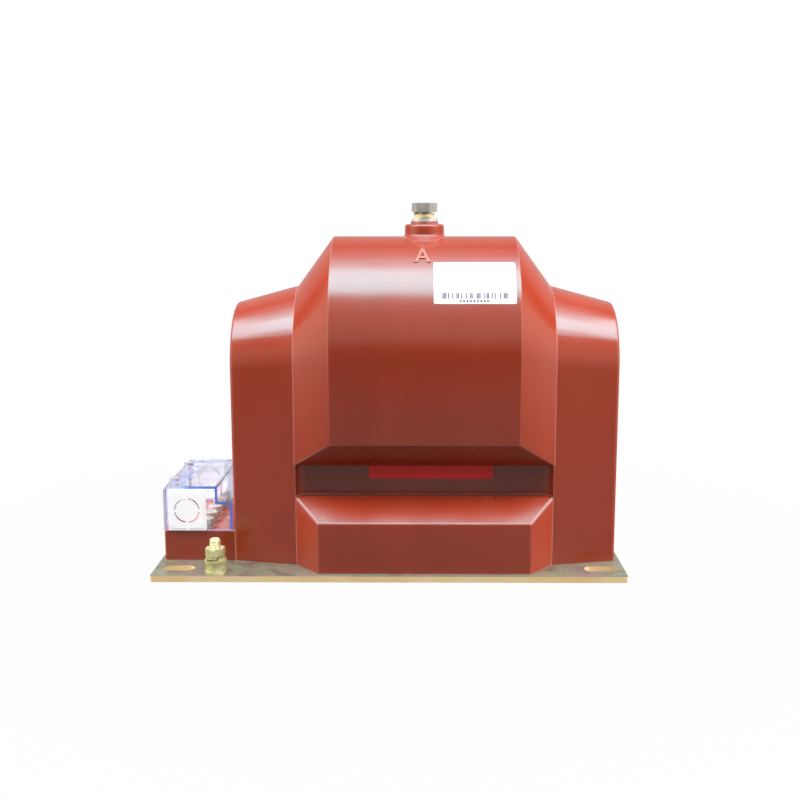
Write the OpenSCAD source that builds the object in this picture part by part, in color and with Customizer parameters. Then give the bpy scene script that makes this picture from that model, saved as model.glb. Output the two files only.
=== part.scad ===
// Cast resin voltage transformer on a steel base plate.
// Lengths are millimetres. Z is up, the front faces -Y, and the origin is the middle of the underside.

/* [Base plate] */
// Length of the base plate
plate_w = 350; // [346:1:380]
// Depth of the base plate from front to back
plate_d = 168; // [164:1:180]
// Thickness of the base plate
plate_t = 4.5; // [4.5:0.5:6]
// Radius of the plate corners
plate_corner_r = 2; // [1:0.5:5]
// Distance between the left and right fixing slots
slot_pitch_x = 315; // [304:1:320]
// Distance between the front and back fixing slots
slot_pitch_y = 130; // [122:1:140]
// Length of a fixing slot over its round ends
slot_len = 24; // [18:1:28]
// Width of a fixing slot
slot_w = 12; // [9:0.5:14]

/* [Resin body] */
// Distance from the middle of the plate to the middle of the body
body_x = 26; // [22:0.5:28]
// Height of the coil axis above the plate
axis_h = 169; // [168:0.5:173]
// Distance from the coil axis to the top of the coil block
block_rise = 75; // [74:0.5:80]
// Half the depth of the coil block
block_half_d = 75; // [74:0.5:80]
// Distance below the coil axis at which the round top of the coil block begins
block_round_drop = 11; // [0:0.5:16]
// Width of the flat front face of the coil block
block_face_w = 140; // [130:1:148]
// Height of the lower edge of the front face above the plate
block_face_h = 95; // [88:1:100]
// Height of the underside of the coil block above the plate
under_h = 76.5; // [73:0.5:80]
// Width of the coil block over its chamfers
shoulder_w = 194; // [188:1:202]
// Half depth and top radius of the lobes next to the coil block
shoulder_r = 57; // [55:0.5:60]
// Height of the top of the lobes next to the coil block
shoulder_h = 207; // [204:0.5:212]
// Length of the body over both lobes
lobe_w = 289.4; // [288:0.2:294]
// Half depth and top radius of the lobes at their outer ends
lobe_end_r = 47; // [45:0.5:50]
// Height of the top of the lobes at their outer ends
lobe_end_h = 194; // [192:0.5:200]
// Depth of the recess between the coil block and the foot
waist_depth = 10; // [6:0.5:12]
// Radius of the inner corners of the recess
waist_corner_r = 9; // [4:0.5:12]
// Width of the front face of the foot
foot_face_w = 158.6; // [148:0.2:168]
// Depth of the foot from front to back
foot_d = 157; // [150:1:160]
// Height of the front edge of the foot above the plate
foot_front_h = 39.2; // [32:0.4:42]
// Height of the foot where it meets the recess
foot_back_h = 52.6; // [46:0.2:56]
// Radius of the moulded edges of the coil block
edge_r = 1.25; // [1:0.25:3]
// Radius of the moulded edges of the foot
foot_edge_r = 2.5; // [1:0.25:3]
// Radius of the moulded edges of the lobes
lobe_edge_r = 3; // [2:0.25:4]

/* [High voltage terminal] */
// Diameter of the terminal boss on top
boss_d = 30; // [27:0.5:36]
// Height of the terminal boss above the coil block
boss_h = 9.2; // [8:0.2:14]
// Radius of the flare at the foot of the boss
boss_flare_r = 2; // [1:0.5:4]
// Radius of the upper edge of the boss
boss_edge_r = 2; // [1:0.25:3]
// Diameter of the terminal insert ring
hv_ring_d = 21; // [20:0.5:24]
// Height of the insert ring above the boss
hv_ring_h = 2.2; // [1:0.2:4]
// Diameter of the buried body of the terminal insert
hv_insert_d = 16; // [14:0.5:19]
// Depth of the terminal insert below the top of the boss
hv_insert_depth = 16.5; // [14:0.5:17]
// Diameter of the terminal bolt
hv_bolt_d = 10; // [8:1:10]
// Length of the terminal bolt below its head
hv_bolt_len = 20; // [14:1:20]
// Height of the terminal bolt head
hv_head_h = 6.8; // [5.5:0.1:7.5]
// Width across the flats of the terminal bolt head
hv_head_af = 17; // [16:0.5:17]
// Outer diameter of the flat washer under the terminal bolt
hv_washer_d = 20; // [18:0.5:21]
// Thickness of the flat washer under the terminal bolt
hv_washer_t = 2.4; // [1.5:0.1:2.5]
// Outer diameter of the spring washer under the terminal bolt
hv_spring_d = 16; // [15:0.25:17]
// Thickness of the wire of that spring washer
hv_spring_t = 2.4; // [1.6:0.1:2.6]
// Rise of that spring washer over one turn
hv_spring_rise = 2.2; // [0.6:0.1:2.4]

/* [Low voltage block] */
// Distance from the middle of the body to the end of the low block
lv_end_x = 197.8; // [195:0.2:198]
// Depth of the low block from front to back
lv_block_d = 92; // [90:0.5:96]
// Height of the low block above the plate
lv_block_h = 23.5; // [22:0.5:26]
// Radius of the upright corners of the low block
lv_corner_r = 2; // [1:0.5:3]
// Distance from the middle of the body to the row of terminals
lv_row_x = 166.5; // [165:0.5:169]
// Number of low voltage terminals
lv_count = 5; // [3:1:5]
// Distance between two low voltage terminals
lv_pitch = 18.5; // [17:0.25:19]
// Diameter of a low voltage terminal insert
lv_insert_d = 10; // [9:0.5:11]
// Length of a low voltage terminal insert
lv_insert_len = 14; // [13:0.5:14]
// Height of a low voltage insert above the block
lv_insert_proud = 0.5; // [0.2:0.1:1.5]
// Thread diameter of a low voltage screw
lv_screw_d = 6; // [5:1:6]
// Length of a low voltage screw below its head
lv_screw_len = 12; // [10:0.5:14]
// Diameter of the head of a low voltage screw
lv_head_d = 11; // [9.5:0.25:12]
// Height of the head of a low voltage screw
lv_head_h = 4.6; // [3.6:0.2:5]
// Outer diameter of a low voltage flat washer
lv_washer_d = 12; // [11.5:0.25:13]
// Thickness of a low voltage flat washer
lv_washer_t = 1.6; // [1:0.1:2]
// Outer diameter of a low voltage spring washer
lv_spring_d = 9.9; // [9:0.1:10.6]
// Thickness of a low voltage spring washer
lv_spring_t = 1.4; // [1:0.1:1.8]
// Rise of a low voltage spring washer over one turn
lv_spring_rise = 0.8; // [0.3:0.1:1.2]

/* [Terminal cover] */
// Height of the terminal cover
cover_h = 34.4; // [33:0.1:38]
// Height of the low step of the cover beside the lobe
cover_step_h = 22.5; // [18:0.1:26]
// Width of the high part of the cover
cover_high_w = 41.2; // [38:0.2:43]
// Wall thickness of the cover
cover_wall = 2; // [1.5:0.1:2.5]
// Gap between the cover and the lobe
cover_gap = 0.8; // [0.4:0.1:1]
// Radius of the outer top edge of the cover
cover_edge_r = 4; // [2.5:0.25:5]
// Distance between the two screws of the cover
cover_screw_pitch = 54; // [50:1:56]
// Diameter of a screw post inside the cover
cover_post_d = 7.6; // [7:0.2:8]
// Thread diameter of a cover screw
cover_screw_d = 4; // [3:0.5:4]
// Head diameter of a cover screw
cover_head_d = 7; // [6:0.25:8]
// Head height of a cover screw
cover_head_h = 2; // [1.6:0.1:3]
// Length of a cover screw below its head
cover_screw_len = 42; // [40:0.5:43]
// Length of a brass insert for a cover screw
cover_insert_len = 11; // [10:0.5:14]
// Number of grip ribs on the top of the cover
rib_count = 5; // [3:2:5]
// Height of a grip rib
rib_h = 1.2; // [0.6:0.1:2]
// Width of a knock-out plate
knockout_w = 28.6; // [27:0.2:29]
// Height of a knock-out plate
knockout_h = 31.6; // [28:0.2:31.8]
// Thickness of the flange of a knock-out plate
knockout_t = 1.4; // [1:0.1:2]
// Diameter of the knock-out ring
knockout_ring_d = 19.4; // [16:0.2:21]
// Width of the slots of the knock-out ring
knockout_slot_w = 1; // [0.8:0.1:1.4]
// Width of a bridge that holds the knock-out disc
knockout_bridge_w = 2.4; // [1.6:0.1:4]

/* [Earth terminal] */
// Distance from the middle of the body to the earth terminal
earth_x = 154; // [153:0.5:158]
// Distance from the middle of the plate to the earth terminal
earth_y = 74; // [71:0.5:75]
// Thread diameter of the earth stud
earth_d = 8; // [6:1:8]
// Height of the end of the earth stud above the plate
earth_len = 25.7; // [24:0.1:30]
// Diameter of the flush head of the earth stud
earth_head_d = 13; // [12:0.5:15]
// Thickness of the flush head of the earth stud
earth_head_t = 1.5; // [1:0.1:2]
// Width across the flats of the earth nuts
earth_nut_af = 13; // [11:0.5:14]
// Height of the lower earth nut
earth_nut_h = 6.4; // [5:0.1:6.8]
// Height of the upper earth nut
earth_top_nut_h = 5.4; // [5:0.1:6.8]
// Outer diameter of the earth washers
earth_washer_d = 16; // [15:0.5:17]
// Thickness of the earth washers
earth_washer_t = 1.8; // [1.2:0.1:2]
// Outer diameter of the earth spring washer
earth_spring_d = 14; // [12:0.25:14.5]
// Thickness of the earth spring washer
earth_spring_t = 2.2; // [1.6:0.1:2.4]
// Rise of the earth spring washer over one turn
earth_spring_rise = 1.2; // [0.4:0.1:1.4]

/* [Core and windings] */
// Length of the iron core
core_w = 256; // [250:1:258]
// Thickness of the core strip pack
core_t = 26; // [22:0.5:28]
// Depth of the core
core_d = 46; // [40:1:47]
// Height of the underside of the core above the plate
core_h0 = 14; // [13.5:0.5:16]
// Outer corner radius of the core
core_corner_r = 30; // [26:0.5:34]
// Thickness of the band around the core
band_t = 0.8; // [0.5:0.1:1.2]
// Width of the band around the core
band_w = 19; // [12:1:22]
// Inner radius of the winding tube
tube_r = 27.5; // [27.5:0.1:28.5]
// Wall thickness of the winding tube
tube_t = 2; // [1.5:0.1:2.4]
// Length of the winding tube
tube_len = 136; // [132:1:140]
// Build of the measuring winding
measuring_t = 3.5; // [3:0.1:4]
// Build of the residual winding
residual_t = 3.5; // [3:0.1:4]
// Length of the secondary windings
secondary_len = 116; // [110:1:118]
// Wall thickness of the barrier tube
barrier_t = 3.5; // [2.5:0.1:4]
// Length of the barrier tube
barrier_len = 132; // [126:1:136]
// Outer radius of the primary winding
primary_r = 62; // [56:0.5:63]
// Length of the primary winding
primary_len = 116; // [108:1:118]
// Bevel of the outer ends of the primary winding
primary_bevel = 8; // [4:0.5:10]
// Thickness of the outer screen
screen_t = 0.8; // [0.5:0.1:1]
// Gap between the primary winding and the outer screen
screen_gap = 0.3; // [0.2:0.1:0.5]
// Width of the open slit in the outer screen
screen_slit = 4; // [3:0.5:8]
// Radius of the leads
lead_r = 1; // [0.7:0.05:1.1]

/* [Body fixing] */
// Distance between the left and right body screws
fix_pitch_x = 124; // [116:1:128]
// Distance between the front and back body screws
fix_pitch_y = 92; // [88:1:100]
// Diameter of a body screw
fix_d = 8; // [6:1:8]
// Height of the cone of a body screw head
fix_cone_h = 4; // [3:0.1:4.2]
// Length of a body screw above the plate
fix_reach = 13; // [10:0.5:15]
// Diameter of a body insert
fix_insert_d = 14; // [12:0.5:16]
// Length of a body insert
fix_insert_len = 18; // [17:0.5:22]

/* [Hidden] */
$fn = 72;
edge_fn = 24;
ball_fn = 24;
eps = 1;
thread_gap = 0.05;
slide_gap = 0.3;
clear_gap = 0.5;
block_top_h = axis_h + block_rise;
block_round_h = axis_h - block_round_drop;
shoulder_c_h = shoulder_h - shoulder_r;
lobe_c_h = lobe_end_h - lobe_end_r;
waist_y = shoulder_r - waist_depth;
below = 2 * lobe_edge_r;
waist_lip = 1;
boss_top_h = block_top_h + boss_h;
boss_skirt_run = 5;
boss_skirt_r = boss_d / 2 + boss_flare_r + boss_skirt_run;
boss_skirt_h = 4.2;
hv_ring_top_h = boss_top_h + hv_ring_h;
hv_insert_h0 = boss_top_h - hv_insert_depth;
hv_insert_neck = 6;
hv_groove_depth = 1.5;
hv_groove_h = 4;
hv_bore_floor = 2.5;
hv_washer_h0 = hv_ring_top_h;
hv_spring_h0 = hv_washer_h0 + hv_washer_t;
hv_head_h0 = hv_spring_h0 + hv_spring_t + hv_spring_rise;
hv_head_turn = 53;
hv_spring_turn = 200;
head_chamfer = 0.8;
lv_x0 = -lv_end_x;
lv_root = 20;
lv_insert_floor = 2;
lobe_x0 = -lobe_w / 2;
lv_insert_top_h = lv_block_h + lv_insert_proud;
lv_insert_h0 = lv_insert_top_h - lv_insert_len;
lv_washer_h0 = lv_insert_top_h;
lv_spring_h0 = lv_washer_h0 + lv_washer_t;
lv_head_h0 = lv_spring_h0 + lv_spring_t + lv_spring_rise;
lv_first_y = -lv_pitch * (lv_count - 1) / 2;
lv_slot_w = 1.2;
lv_slot_depth = 1.6;
lv_dome_h = 1.4;
cover_x0 = lv_x0;
cover_x1 = lobe_x0 - cover_gap;
cover_w = cover_x1 - cover_x0;
cover_d = lv_block_d;
cover_post_bite = 1;
cover_screw_x = cover_x0 + cover_wall + cover_post_d / 2 - cover_post_bite;
cover_insert_inset = 0.5;
cover_insert_d = cover_post_d - 2 * cover_insert_inset;
cover_insert_floor = 1;
cover_slot_w = 1;
cover_slot_depth = 1.1;
cover_top_h = lv_block_h + cover_h;
rib_len = 12;
rib_w = 2;
rib_margin = 10;
rib_pitch = (cover_d - 2 * rib_margin) / (rib_count - 1);
knockout_edge = 4;
knockout_x = cover_x0 + knockout_edge + knockout_w / 2;
knockout_lift = 0.4;
knockout_c_h = lv_block_h + knockout_lift + knockout_h / 2;
knockout_rim = 1.5;
knockout_nib_d = 2;
knockout_nib_h = 0.8;
knockout_corner_r = 1;
knockout_plug_r = 0.5;
knockout_frame = 2;
knockout_panel_t = 0.5;
knockout_pocket = 3;
knockout_web_t = 0.8;
earth_washer_h0 = 0;
earth_nut_h0 = earth_washer_t;
earth_flat_h0 = earth_nut_h0 + earth_nut_h;
earth_spring_h0 = earth_flat_h0 + earth_washer_t;
earth_top_nut_h0 = earth_spring_h0 + earth_spring_t + earth_spring_rise;
earth_tip_bevel = 0.8;
earth_nut_turn = 27;
earth_top_nut_turn = 25;
earth_spring_turn = 300;
core_h1 = axis_h + core_t / 2;
core_h = core_h1 - core_h0;
core_mid_h = core_h0 + core_h / 2;
core_inner_r = 4;
measuring_r = tube_r + tube_t;
residual_r = measuring_r + measuring_t;
barrier_r = residual_r + residual_t;
primary_in_r = barrier_r + barrier_t;
screen_in_r = primary_r + screen_gap;
screen_r = screen_in_r + screen_t;
screen_margin = 2;
screen_len = primary_len - 2 * primary_bevel - 2 * screen_margin;
screen_slit_h = 12;
hv_lead_r = 1.5;
measuring_mid_r = measuring_r + measuring_t / 2;
residual_mid_r = residual_r + residual_t / 2;
neutral_depth = 2.4;
neutral_mid_r = primary_in_r + neutral_depth;
neutral_back = 3;
neutral_low = 3;
lead_x0 = -secondary_len / 2;
lead_clear = 8;
lead_drop_x = -tube_len / 2 - lead_clear;
lead_step = 6;
lead_seat = 1;
lead_sides = 8;
lead_back = 4;
start_angle = 62;
finish_angle = 84;
neutral_angle = 70;
lead_low = 2;
lead_high = 6;
lead_low_h = lv_insert_h0 + lead_low;
lead_high_h = lv_insert_h0 + lead_high;
lead_turn_x = -core_w / 2 - lead_clear;
lead_end_x = -lv_row_x + lv_insert_d / 2 - lead_seat;
earth_lead_x = -20;
earth_lead_gap = 4;
fix_head_r = fix_d / 2 + fix_cone_h;
fix_recess = 0.1;
fix_insert_floor = 1;
fix_socket_af = 5;
fix_socket_h = 2.6;

// Puts a piece in the middle of the body, on the top face of the plate
module on_plate() {
    translate([body_x, 0, plate_t]) children();
}

// A profile in depth and height, drawn out along the length of the body
module along_x(length) {
    rotate([90, 0, 90]) linear_extrude(length, center = true) children();
}

// A profile in length and height, drawn out from front to back
module along_y(length) {
    rotate([90, 0, 0]) linear_extrude(length, center = true) children();
}

// A rectangle with round corners, about its middle
module round_rect(w, h, r) {
    square([w - 2 * r, h], center = true);
    square([w, h - 2 * r], center = true);
    for (sx = [-1, 1], sy = [-1, 1])
        translate([sx * (w / 2 - r), sy * (h / 2 - r)]) circle(r);
}

// A tube about the coil axis
module coil_ring(r_in, r_out, length) {
    translate([0, 0, axis_h]) rotate([0, 90, 0]) difference() {
        cylinder(h = length, r = r_out, center = true);
        cylinder(h = length + 2 * eps, r = r_in, center = true);
    }
}

// Direction of one leg of a path
function leg(path, i) = (path[i + 1] - path[i]) / norm(path[i + 1] - path[i]);

// Normal of the plane that halves the bend at one point of a path
function bend(path, i) = i == len(path) - 1 ? leg(path, i - 1) : leg(path, i - 1) + leg(path, i);

// Corner points of the first end of a lead, square to its first leg
function first_ring(path, r) =
    let (d = leg(path, 0), u = cross(d, [0, 0, 1]), v = cross(d, u))
    [for (k = [0:lead_sides - 1]) path[0] + r * (cos(360 * (k + 0.5) / lead_sides) * u
        + sin(360 * (k + 0.5) / lead_sides) * v)];

// Corner points of a lead at point i and at all the points after it
function rings_from(path, ring, i) = i == len(path) - 1 ? ring : concat(ring,
    let (d = leg(path, i), n = bend(path, i + 1), q = path[i + 1])
    rings_from(path, [for (c = ring) c + d * ((q - c) * n) / (d * n)], i + 1));

// A lead with mitred bends that runs through a list of points, its first leg level
module lead(path, r) {
    n = lead_sides;
    last = len(path) - 1;
    sides = [for (i = [0:last - 1]) for (k = [0:n - 1])
        [n * i + k, n * i + n + k, n * i + n + (k + 1) % n, n * i + (k + 1) % n]];
    ends = [[for (k = [0:n - 1]) k], [for (k = [n - 1:-1:0]) n * last + k]];
    polyhedron(points = rings_from(path, first_ring(path, r), 0), faces = concat(sides, ends));
}

// A flat ring
module washer(d_out, d_in, t) {
    difference() {
        cylinder(h = t, d = d_out);
        translate([0, 0, -eps]) cylinder(h = t + 2 * eps, d = d_in);
    }
}

// A split ring that rises by one step over its turn
module spring_washer(d_out, d_in, t, rise) {
    steps = 24;
    turn = 346;
    section = [[d_in / 2, 0], [d_out / 2, 0], [d_out / 2, t], [d_in / 2, t]];
    points = [for (i = [0:steps]) for (c = section)
        [c[0] * cos(turn * i / steps), c[0] * sin(turn * i / steps), c[1] + rise * i / steps]];
    sides = [for (i = [0:steps - 1]) for (k = [0:3])
        [4 * i + k, 4 * i + (k + 1) % 4, 4 * i + 4 + (k + 1) % 4, 4 * i + 4 + k]];
    ends = [[3, 2, 1, 0], [4 * steps, 4 * steps + 1, 4 * steps + 2, 4 * steps + 3]];
    polyhedron(points = points, faces = concat([for (f = sides) [f[3], f[2], f[1], f[0]]],
        [for (f = ends) [f[3], f[2], f[1], f[0]]]));
}

// A hexagon with its upper and lower corners turned off
module hex_form(af, h) {
    corner_r = af / sqrt(3);
    intersection() {
        cylinder(h = h, r = corner_r, $fn = 6);
        rotate_extrude() polygon([[0, 0], [corner_r - head_chamfer, 0], [corner_r, head_chamfer / 2],
            [corner_r, h - head_chamfer / 2], [corner_r - head_chamfer, h], [0, h]]);
    }
}

// Steel plate with four fixing slots, screw countersinks and the seat of the earth stud
module base_plate() {
    color("#a9a385") difference() {
        linear_extrude(plate_t) round_rect(plate_w, plate_d, plate_corner_r);
        for (sx = [-1, 1], sy = [-1, 1])
            translate([sx * slot_pitch_x / 2, sy * slot_pitch_y / 2, -eps])
                linear_extrude(plate_t + 2 * eps) slot_shape();
        for (p = fix_points())
            translate([body_x + p[0], p[1], 0]) screw_hole();
        translate([body_x - earth_x, -earth_y, -eps]) {
            cylinder(h = plate_t + 2 * eps, d = earth_d);
            cylinder(h = earth_head_t + eps, d = earth_head_d);
        }
    }
}

// Outline of one fixing slot
module slot_shape() {
    reach = (slot_len - slot_w) / 2;
    square([2 * reach, slot_w], center = true);
    for (s = [-1, 1])
        translate([s * reach, 0]) circle(slot_w / 2);
}

// Countersunk clearance hole for a body screw, seen from the underside
module screw_hole() {
    translate([0, 0, -eps]) cylinder(h = plate_t + 2 * eps, d = fix_d + 2 * slide_gap);
    translate([0, 0, fix_recess]) cylinder(h = fix_cone_h, r1 = fix_head_r, r2 = fix_d / 2);
    translate([0, 0, -eps]) cylinder(h = fix_recess + eps, r = fix_head_r);
}

// Places of the body screws, from the middle of the body
function fix_points() = [for (sx = [-1, 1]) for (sy = [-1, 1])
    [sx * fix_pitch_x / 2, sy * fix_pitch_y / 2]];

// A ball for a rounded corner
module corner_ball(r) {
    rotate([0, 90, 0]) rotate_extrude($fn = ball_fn) intersection() {
        circle(r, $fn = edge_fn);
        translate([0, -r]) square([r, 2 * r]);
    }
}

// A disc about the coil direction with a rounded rim
module rim_disc(disc_r, length, r) {
    rotate([0, 90, 0]) rotate_extrude() {
        translate([0, -length / 2]) square([disc_r - r, length]);
        translate([0, -length / 2 + r]) square([disc_r, length - 2 * r]);
        for (s = [-1, 1])
            translate([disc_r - r, s * (length / 2 - r)]) circle(r, $fn = edge_fn);
    }
}

// Four balls at the corners of a rectangle at one height
module corner_balls(w, d, h, r) {
    for (sx = [-1, 1], sy = [-1, 1])
        translate([sx * (w / 2 - r), sy * (d / 2 - r), h]) corner_ball(r);
}

// Coil block: round top, flat front and back, chamfered sides and sloping underside
module block_form() {
    hull() {
        translate([0, 0, block_round_h]) scale([1, 1, (block_top_h - block_round_h) / block_half_d])
            rim_disc(block_half_d, block_face_w, edge_r);
        corner_balls(block_face_w, 2 * block_half_d, block_face_h + edge_r, edge_r);
        translate([0, 0, shoulder_c_h]) rim_disc(shoulder_r, shoulder_w, edge_r);
        corner_balls(shoulder_w, 2 * shoulder_r, under_h + edge_r, edge_r);
    }
}

// Both lobes as one tapered form with a round top and upright sides
module lobe_form() {
    hull() {
        translate([0, 0, shoulder_c_h]) rim_disc(shoulder_r, shoulder_w, lobe_edge_r);
        corner_balls(shoulder_w, 2 * shoulder_r, -below, lobe_edge_r);
        translate([0, 0, lobe_c_h]) rim_disc(lobe_end_r, lobe_w, lobe_edge_r);
        corner_balls(lobe_w, 2 * lobe_end_r, -below, lobe_edge_r);
    }
}

// Foot with chamfered ends and a sloping top
module foot_form() {
    hull() {
        corner_balls(foot_face_w, foot_d, foot_front_h - foot_edge_r, foot_edge_r);
        corner_balls(foot_face_w, foot_d, -below, foot_edge_r);
        corner_balls(shoulder_w, 2 * shoulder_r, foot_back_h - foot_edge_r, foot_edge_r);
        corner_balls(shoulder_w, 2 * shoulder_r, -below, foot_edge_r);
    }
}

// Recess across the front and back, with round inner corners
module waist_cut() {
    half_w = shoulder_w / 2 - waist_lip;
    for (s = [-1, 1])
        translate([0, s * (waist_y + half_w / 2), foot_front_h])
            linear_extrude(block_face_h - foot_front_h)
                round_rect(2 * half_w, half_w, waist_corner_r);
}

// Terminal boss with a flared foot that runs out into the round top
module boss_form() {
    r = boss_d / 2;
    flat_r = r - boss_edge_r;
    flare = r + boss_flare_r;
    translate([0, 0, block_top_h]) rotate_extrude() {
        square([flat_r, boss_h]);
        square([r, boss_h - boss_edge_r]);
        translate([flat_r, boss_h - boss_edge_r]) circle(boss_edge_r);
        difference() {
            polygon([[0, -2 * boss_skirt_h], [boss_skirt_r, -2 * boss_skirt_h],
                [boss_skirt_r, -boss_skirt_h], [flare, 0], [flare, boss_flare_r], [0, boss_flare_r]]);
            translate([flare, boss_flare_r]) circle(boss_flare_r);
        }
    }
}

// Low block that carries the low voltage terminals
module lv_block_form() {
    inner_x = lobe_x0 + lv_root;
    w = inner_x - lv_x0;
    translate([lv_x0 + w / 2, 0, 0]) linear_extrude(lv_block_h) round_rect(w, lv_block_d, lv_corner_r);
}

// One casting of red-brown resin round the core, the windings, the leads and the inserts
module resin_body() {
    color("#a1452f") difference() {
        on_plate() union() {
            block_form();
            foot_form();
            difference() {
                lobe_form();
                waist_cut();
            }
            boss_form();
            lv_block_form();
        }
        translate([-plate_w, -plate_d, plate_t - 4 * below]) cube([2 * plate_w, 2 * plate_d, 4 * below]);
        core_loop();
        core_band();
        core_earth_lead();
        winding_tube();
        measuring_winding();
        residual_winding();
        barrier_tube();
        primary_winding();
        outer_screen();
        hv_lead();
        neutral_lead();
        secondary_leads();
        on_plate() hv_insert_form();
        lv_insert_seats();
        cover_insert_seats();
        body_insert_seats();
    }
}

// Closed loop of the core
module core_loop() {
    on_plate() along_y(core_d) translate([0, core_mid_h]) difference() {
        round_rect(core_w, core_h, core_corner_r);
        round_rect(core_w - 2 * core_t, core_h - 2 * core_t, core_inner_r);
    }
}

// Left half of the cut core, wound from steel strip
module core_left() {
    color("#6d7076") intersection() {
        core_loop();
        on_plate() translate([-core_w, -core_d, 0]) cube([core_w, 2 * core_d, 2 * core_h]);
    }
}

// Right half of the cut core
module core_right() {
    color("#63666c") intersection() {
        core_loop();
        on_plate() translate([0, -core_d, 0]) cube([core_w, 2 * core_d, 2 * core_h]);
    }
}

// Steel band that holds the core halves together
module core_band() {
    color("#b9bcc0") on_plate() along_y(band_w) translate([0, core_mid_h]) difference() {
        round_rect(core_w + 2 * band_t, core_h + 2 * band_t, core_corner_r + band_t);
        round_rect(core_w, core_h, core_corner_r);
    }
}

// Short lead that earths the core to the plate
module core_earth_lead() {
    color("#b87333") on_plate() translate([earth_lead_x, band_w / 2 + earth_lead_gap, 0])
        cylinder(h = core_h0, r = lead_r);
}

// Pressboard tube round the core leg
module winding_tube() {
    color("#c9a06a") on_plate() coil_ring(tube_r, measuring_r, tube_len);
}

// Measuring winding
module measuring_winding() {
    color("#b8672e") on_plate() coil_ring(measuring_r, residual_r, secondary_len);
}

// Residual voltage winding
module residual_winding() {
    color("#a85a28") on_plate() coil_ring(residual_r, barrier_r, secondary_len);
}

// Insulating tube between the secondary windings and the primary winding
module barrier_tube() {
    color("#d8b98a") on_plate() coil_ring(barrier_r, primary_in_r, barrier_len);
}

// Primary winding of fine wire with bevelled outer ends
module primary_winding() {
    half = primary_len / 2;
    color("#9a4a20") on_plate() translate([0, 0, axis_h]) rotate([0, 90, 0]) rotate_extrude()
        polygon([[primary_in_r, -half], [primary_r - primary_bevel, -half],
            [primary_r, -half + primary_bevel], [primary_r, half - primary_bevel],
            [primary_r - primary_bevel, half], [primary_in_r, half]]);
}

// Open ring of metal cloth over the primary winding
module outer_screen() {
    color("#9fa3a6") on_plate() difference() {
        coil_ring(screen_in_r, screen_r, screen_len);
        translate([0, 0, axis_h - screen_r])
            cube([screen_len + 2 * eps, screen_slit, screen_slit_h], center = true);
    }
}

// Lead from the outer screen to the high voltage insert
module hv_lead() {
    color("#b87333") on_plate() translate([0, 0, axis_h + screen_r])
        cylinder(h = hv_insert_h0 - axis_h - screen_r, r = hv_lead_r);
}

// Lead from the inner end of the primary winding to the middle terminal
module neutral_lead() {
    y = neutral_mid_r * sin(neutral_angle);
    z = axis_h - neutral_mid_r * cos(neutral_angle);
    drop_x = lead_drop_x - 2 * lead_step;
    low_h = lv_insert_h0 - neutral_low;
    turn_x = lead_turn_x + neutral_back;
    x = -primary_len / 2;
    color("#b87333") on_plate() lead([[x, y, z], [drop_x, y, z], [drop_x, y, low_h],
        [turn_x, y, low_h], [turn_x, 0, low_h], [-lv_row_x, 0, low_h],
        [-lv_row_x, 0, lv_insert_h0]], lead_r);
}

// Four leads from the secondary windings to their terminals
module secondary_leads() {
    inner = lv_pitch;
    outer = 2 * lv_pitch;
    near_x = lead_drop_x;
    far_x = lead_drop_x - lead_step;
    color("#b87333") on_plate() {
        secondary_lead(-start_angle, measuring_mid_r, near_x, lead_high_h, -outer, 0);
        secondary_lead(-finish_angle, measuring_mid_r, far_x, lead_low_h, -inner, lead_back);
        secondary_lead(start_angle, residual_mid_r, near_x, lead_high_h, outer, 0);
        secondary_lead(finish_angle, residual_mid_r, far_x, lead_low_h, inner, lead_back);
    }
}

// One lead from a winding end, down beside the core and across to its terminal
module secondary_lead(angle, r, drop_x, run_h, end_y, back) {
    y = r * sin(angle);
    z = axis_h - r * cos(angle);
    turn_x = lead_turn_x + back;
    lead([[lead_x0, y, z], [drop_x, y, z], [drop_x, y, run_h], [turn_x, y, run_h],
        [turn_x, end_y, run_h], [lead_end_x, end_y, run_h]], lead_r);
}

// Outer form of the high voltage insert: ring, neck and grooved body
module hv_insert_form() {
    body_h = hv_insert_depth - hv_insert_neck;
    translate([0, 0, hv_insert_h0]) {
        difference() {
            cylinder(h = body_h, d = hv_insert_d);
            translate([0, 0, (body_h - hv_groove_h) / 2])
                washer(hv_insert_d + eps, hv_insert_d - 2 * hv_groove_depth, hv_groove_h);
        }
        translate([0, 0, body_h]) cylinder(h = hv_insert_neck + hv_ring_h, d = hv_ring_d);
    }
}

// Threaded insert of the high voltage terminal
module hv_insert() {
    color("#c98f6a") on_plate() difference() {
        hv_insert_form();
        translate([0, 0, hv_insert_h0 + hv_bore_floor])
            cylinder(h = hv_insert_depth + hv_ring_h, d = hv_bolt_d + 2 * thread_gap);
    }
}

// Flat washer of the high voltage terminal
module hv_flat_washer() {
    color("#cfcfc8") on_plate() translate([0, 0, hv_washer_h0])
        washer(hv_washer_d, hv_bolt_d + 2 * clear_gap, hv_washer_t);
}

// Spring washer of the high voltage terminal
module hv_spring_washer() {
    color("#cdbb6a") on_plate() translate([0, 0, hv_spring_h0]) rotate([0, 0, hv_spring_turn])
        spring_washer(hv_spring_d, hv_bolt_d + 2 * slide_gap, hv_spring_t, hv_spring_rise);
}

// Hexagon bolt of the high voltage terminal
module hv_bolt() {
    color("#d2d2cc") on_plate() translate([0, 0, hv_head_h0]) {
        rotate([0, 0, hv_head_turn]) hex_form(hv_head_af, hv_head_h);
        translate([0, 0, -hv_bolt_len]) cylinder(h = hv_bolt_len + eps, d = hv_bolt_d);
    }
}

// Repeats a piece at each low voltage terminal
module at_lv_terminals() {
    for (i = [0:lv_count - 1])
        on_plate() translate([-lv_row_x, lv_first_y + i * lv_pitch, 0]) children();
}

// Seats of the low voltage inserts in the casting
module lv_insert_seats() {
    at_lv_terminals() translate([0, 0, lv_insert_h0]) cylinder(h = lv_insert_len + eps, d = lv_insert_d);
}

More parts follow.
